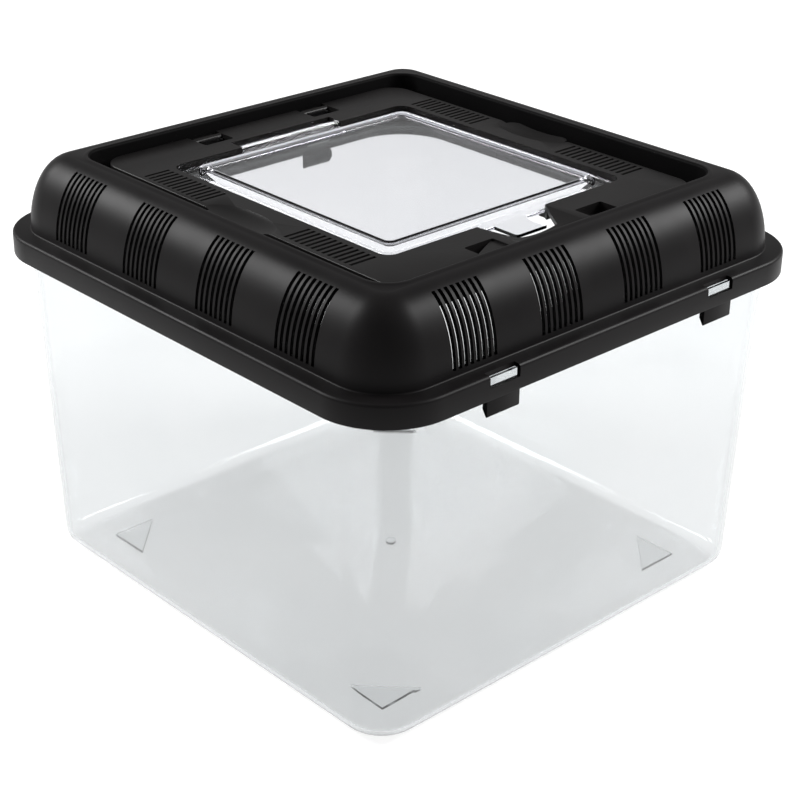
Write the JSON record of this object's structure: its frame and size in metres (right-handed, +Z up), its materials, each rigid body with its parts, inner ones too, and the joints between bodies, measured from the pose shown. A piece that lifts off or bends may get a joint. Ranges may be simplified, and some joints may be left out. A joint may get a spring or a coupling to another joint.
{
  "type": "small pet carrier",
  "caption": "Clear tapered plastic tub for a small pet, with a black vented clip-on lid frame, a hinged door panel and a clear hatch window in it.",
  "frame": {"origin": "middle of the footprint, at the level the feet stand on", "axes": "+Z up, +Y from the front face towards the back hinges, +X to the right seen from the front"},
  "size_m": [0.32, 0.327, 0.2418],
  "materials": {
    "clear_tub": "clear polished polystyrene with a faint grey tint",
    "black_frame": "black satin moulded plastic",
    "black_panel": "black satin moulded plastic with a fine grain",
    "clear_hatch": "clear polished polystyrene"
  },
  "bodies": {
    "tub": {"tub": "clear_tub"},
    "lid": {"lid_frame": "black_frame"},
    "door": {"door_panel": "black_panel"},
    "hatch": {"hatch_window": "clear_hatch"}
  },
  "joints": [
    {"name": "lid_lift", "type": "slide", "parent": "tub", "child": "lid", "axis": [0, 0, 1], "range_m": [0, 0.1]},
    {"name": "door_swing", "type": "hinge", "parent": "lid", "child": "door", "pos_m": [0, 0.116, 0.2338], "axis": [-1, 0, 0], "range_deg": [0, 95]},
    {"name": "hatch_swing", "type": "hinge", "parent": "door", "child": "hatch", "pos_m": [0, 0.09, 0.2338], "axis": [-1, 0, 0], "range_deg": [0, 100]}
  ]
}
